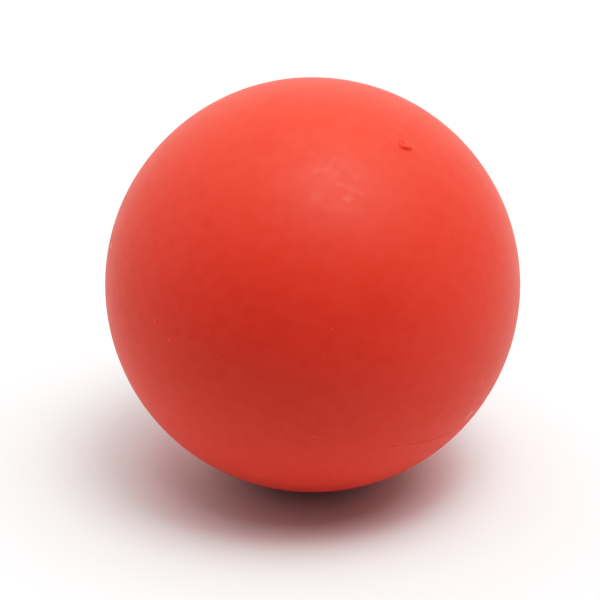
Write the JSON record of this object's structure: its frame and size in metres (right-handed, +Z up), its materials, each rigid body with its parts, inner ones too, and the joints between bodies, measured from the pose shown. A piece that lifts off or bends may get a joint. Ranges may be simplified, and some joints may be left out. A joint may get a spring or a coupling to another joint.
{
  "type": "massage ball",
  "caption": "Solid moulded rubber massage ball, matte and smooth, with a faint parting ridge round its middle and a small gate pip at the pole.",
  "frame": {"origin": "centre of the ball", "axes": "+Z up from the surface the ball rests on; the mould axis, through the gate pip, leans 31 degrees from +Z towards a heading 34 degrees from +X to -Y"},
  "size_m": [0.0634, 0.0634, 0.0634],
  "materials": {
    "rubber": "matte, as moulded"
  },
  "bodies": {
    "root": {"rubber_ball": "rubber"}
  },
  "joints": []
}
